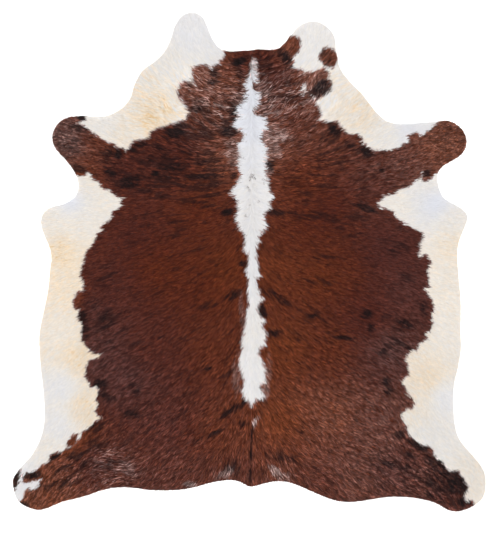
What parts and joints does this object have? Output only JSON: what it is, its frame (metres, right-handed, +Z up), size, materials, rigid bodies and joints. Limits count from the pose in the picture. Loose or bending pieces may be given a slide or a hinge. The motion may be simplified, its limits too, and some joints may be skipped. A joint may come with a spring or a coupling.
{
  "type": "cowhide rug",
  "caption": "Whole flat cowhide rug with head flaps, four leg lobes and a tail point, hair side up and a flat underside that lies on the floor.",
  "frame": {"origin": "middle of the hide's bounding box, on the floor that its underside lies on", "axes": "+Z up, away from the floor; +Y along the back towards the head flaps; +X towards the hide's right side as seen from above"},
  "size_m": [2.08, 2.196, 0.0089],
  "materials": {
    "hair": "short glossy cattle hair lying flat, chestnut brown with darker streaks, white along the back and cream at the belly margins",
    "skin": "pale tanned skin, matt, with a suede underside, seen only at the cut edge and from below"
  },
  "bodies": {
    "root": {"hide": "hair"}
  },
  "joints": []
}
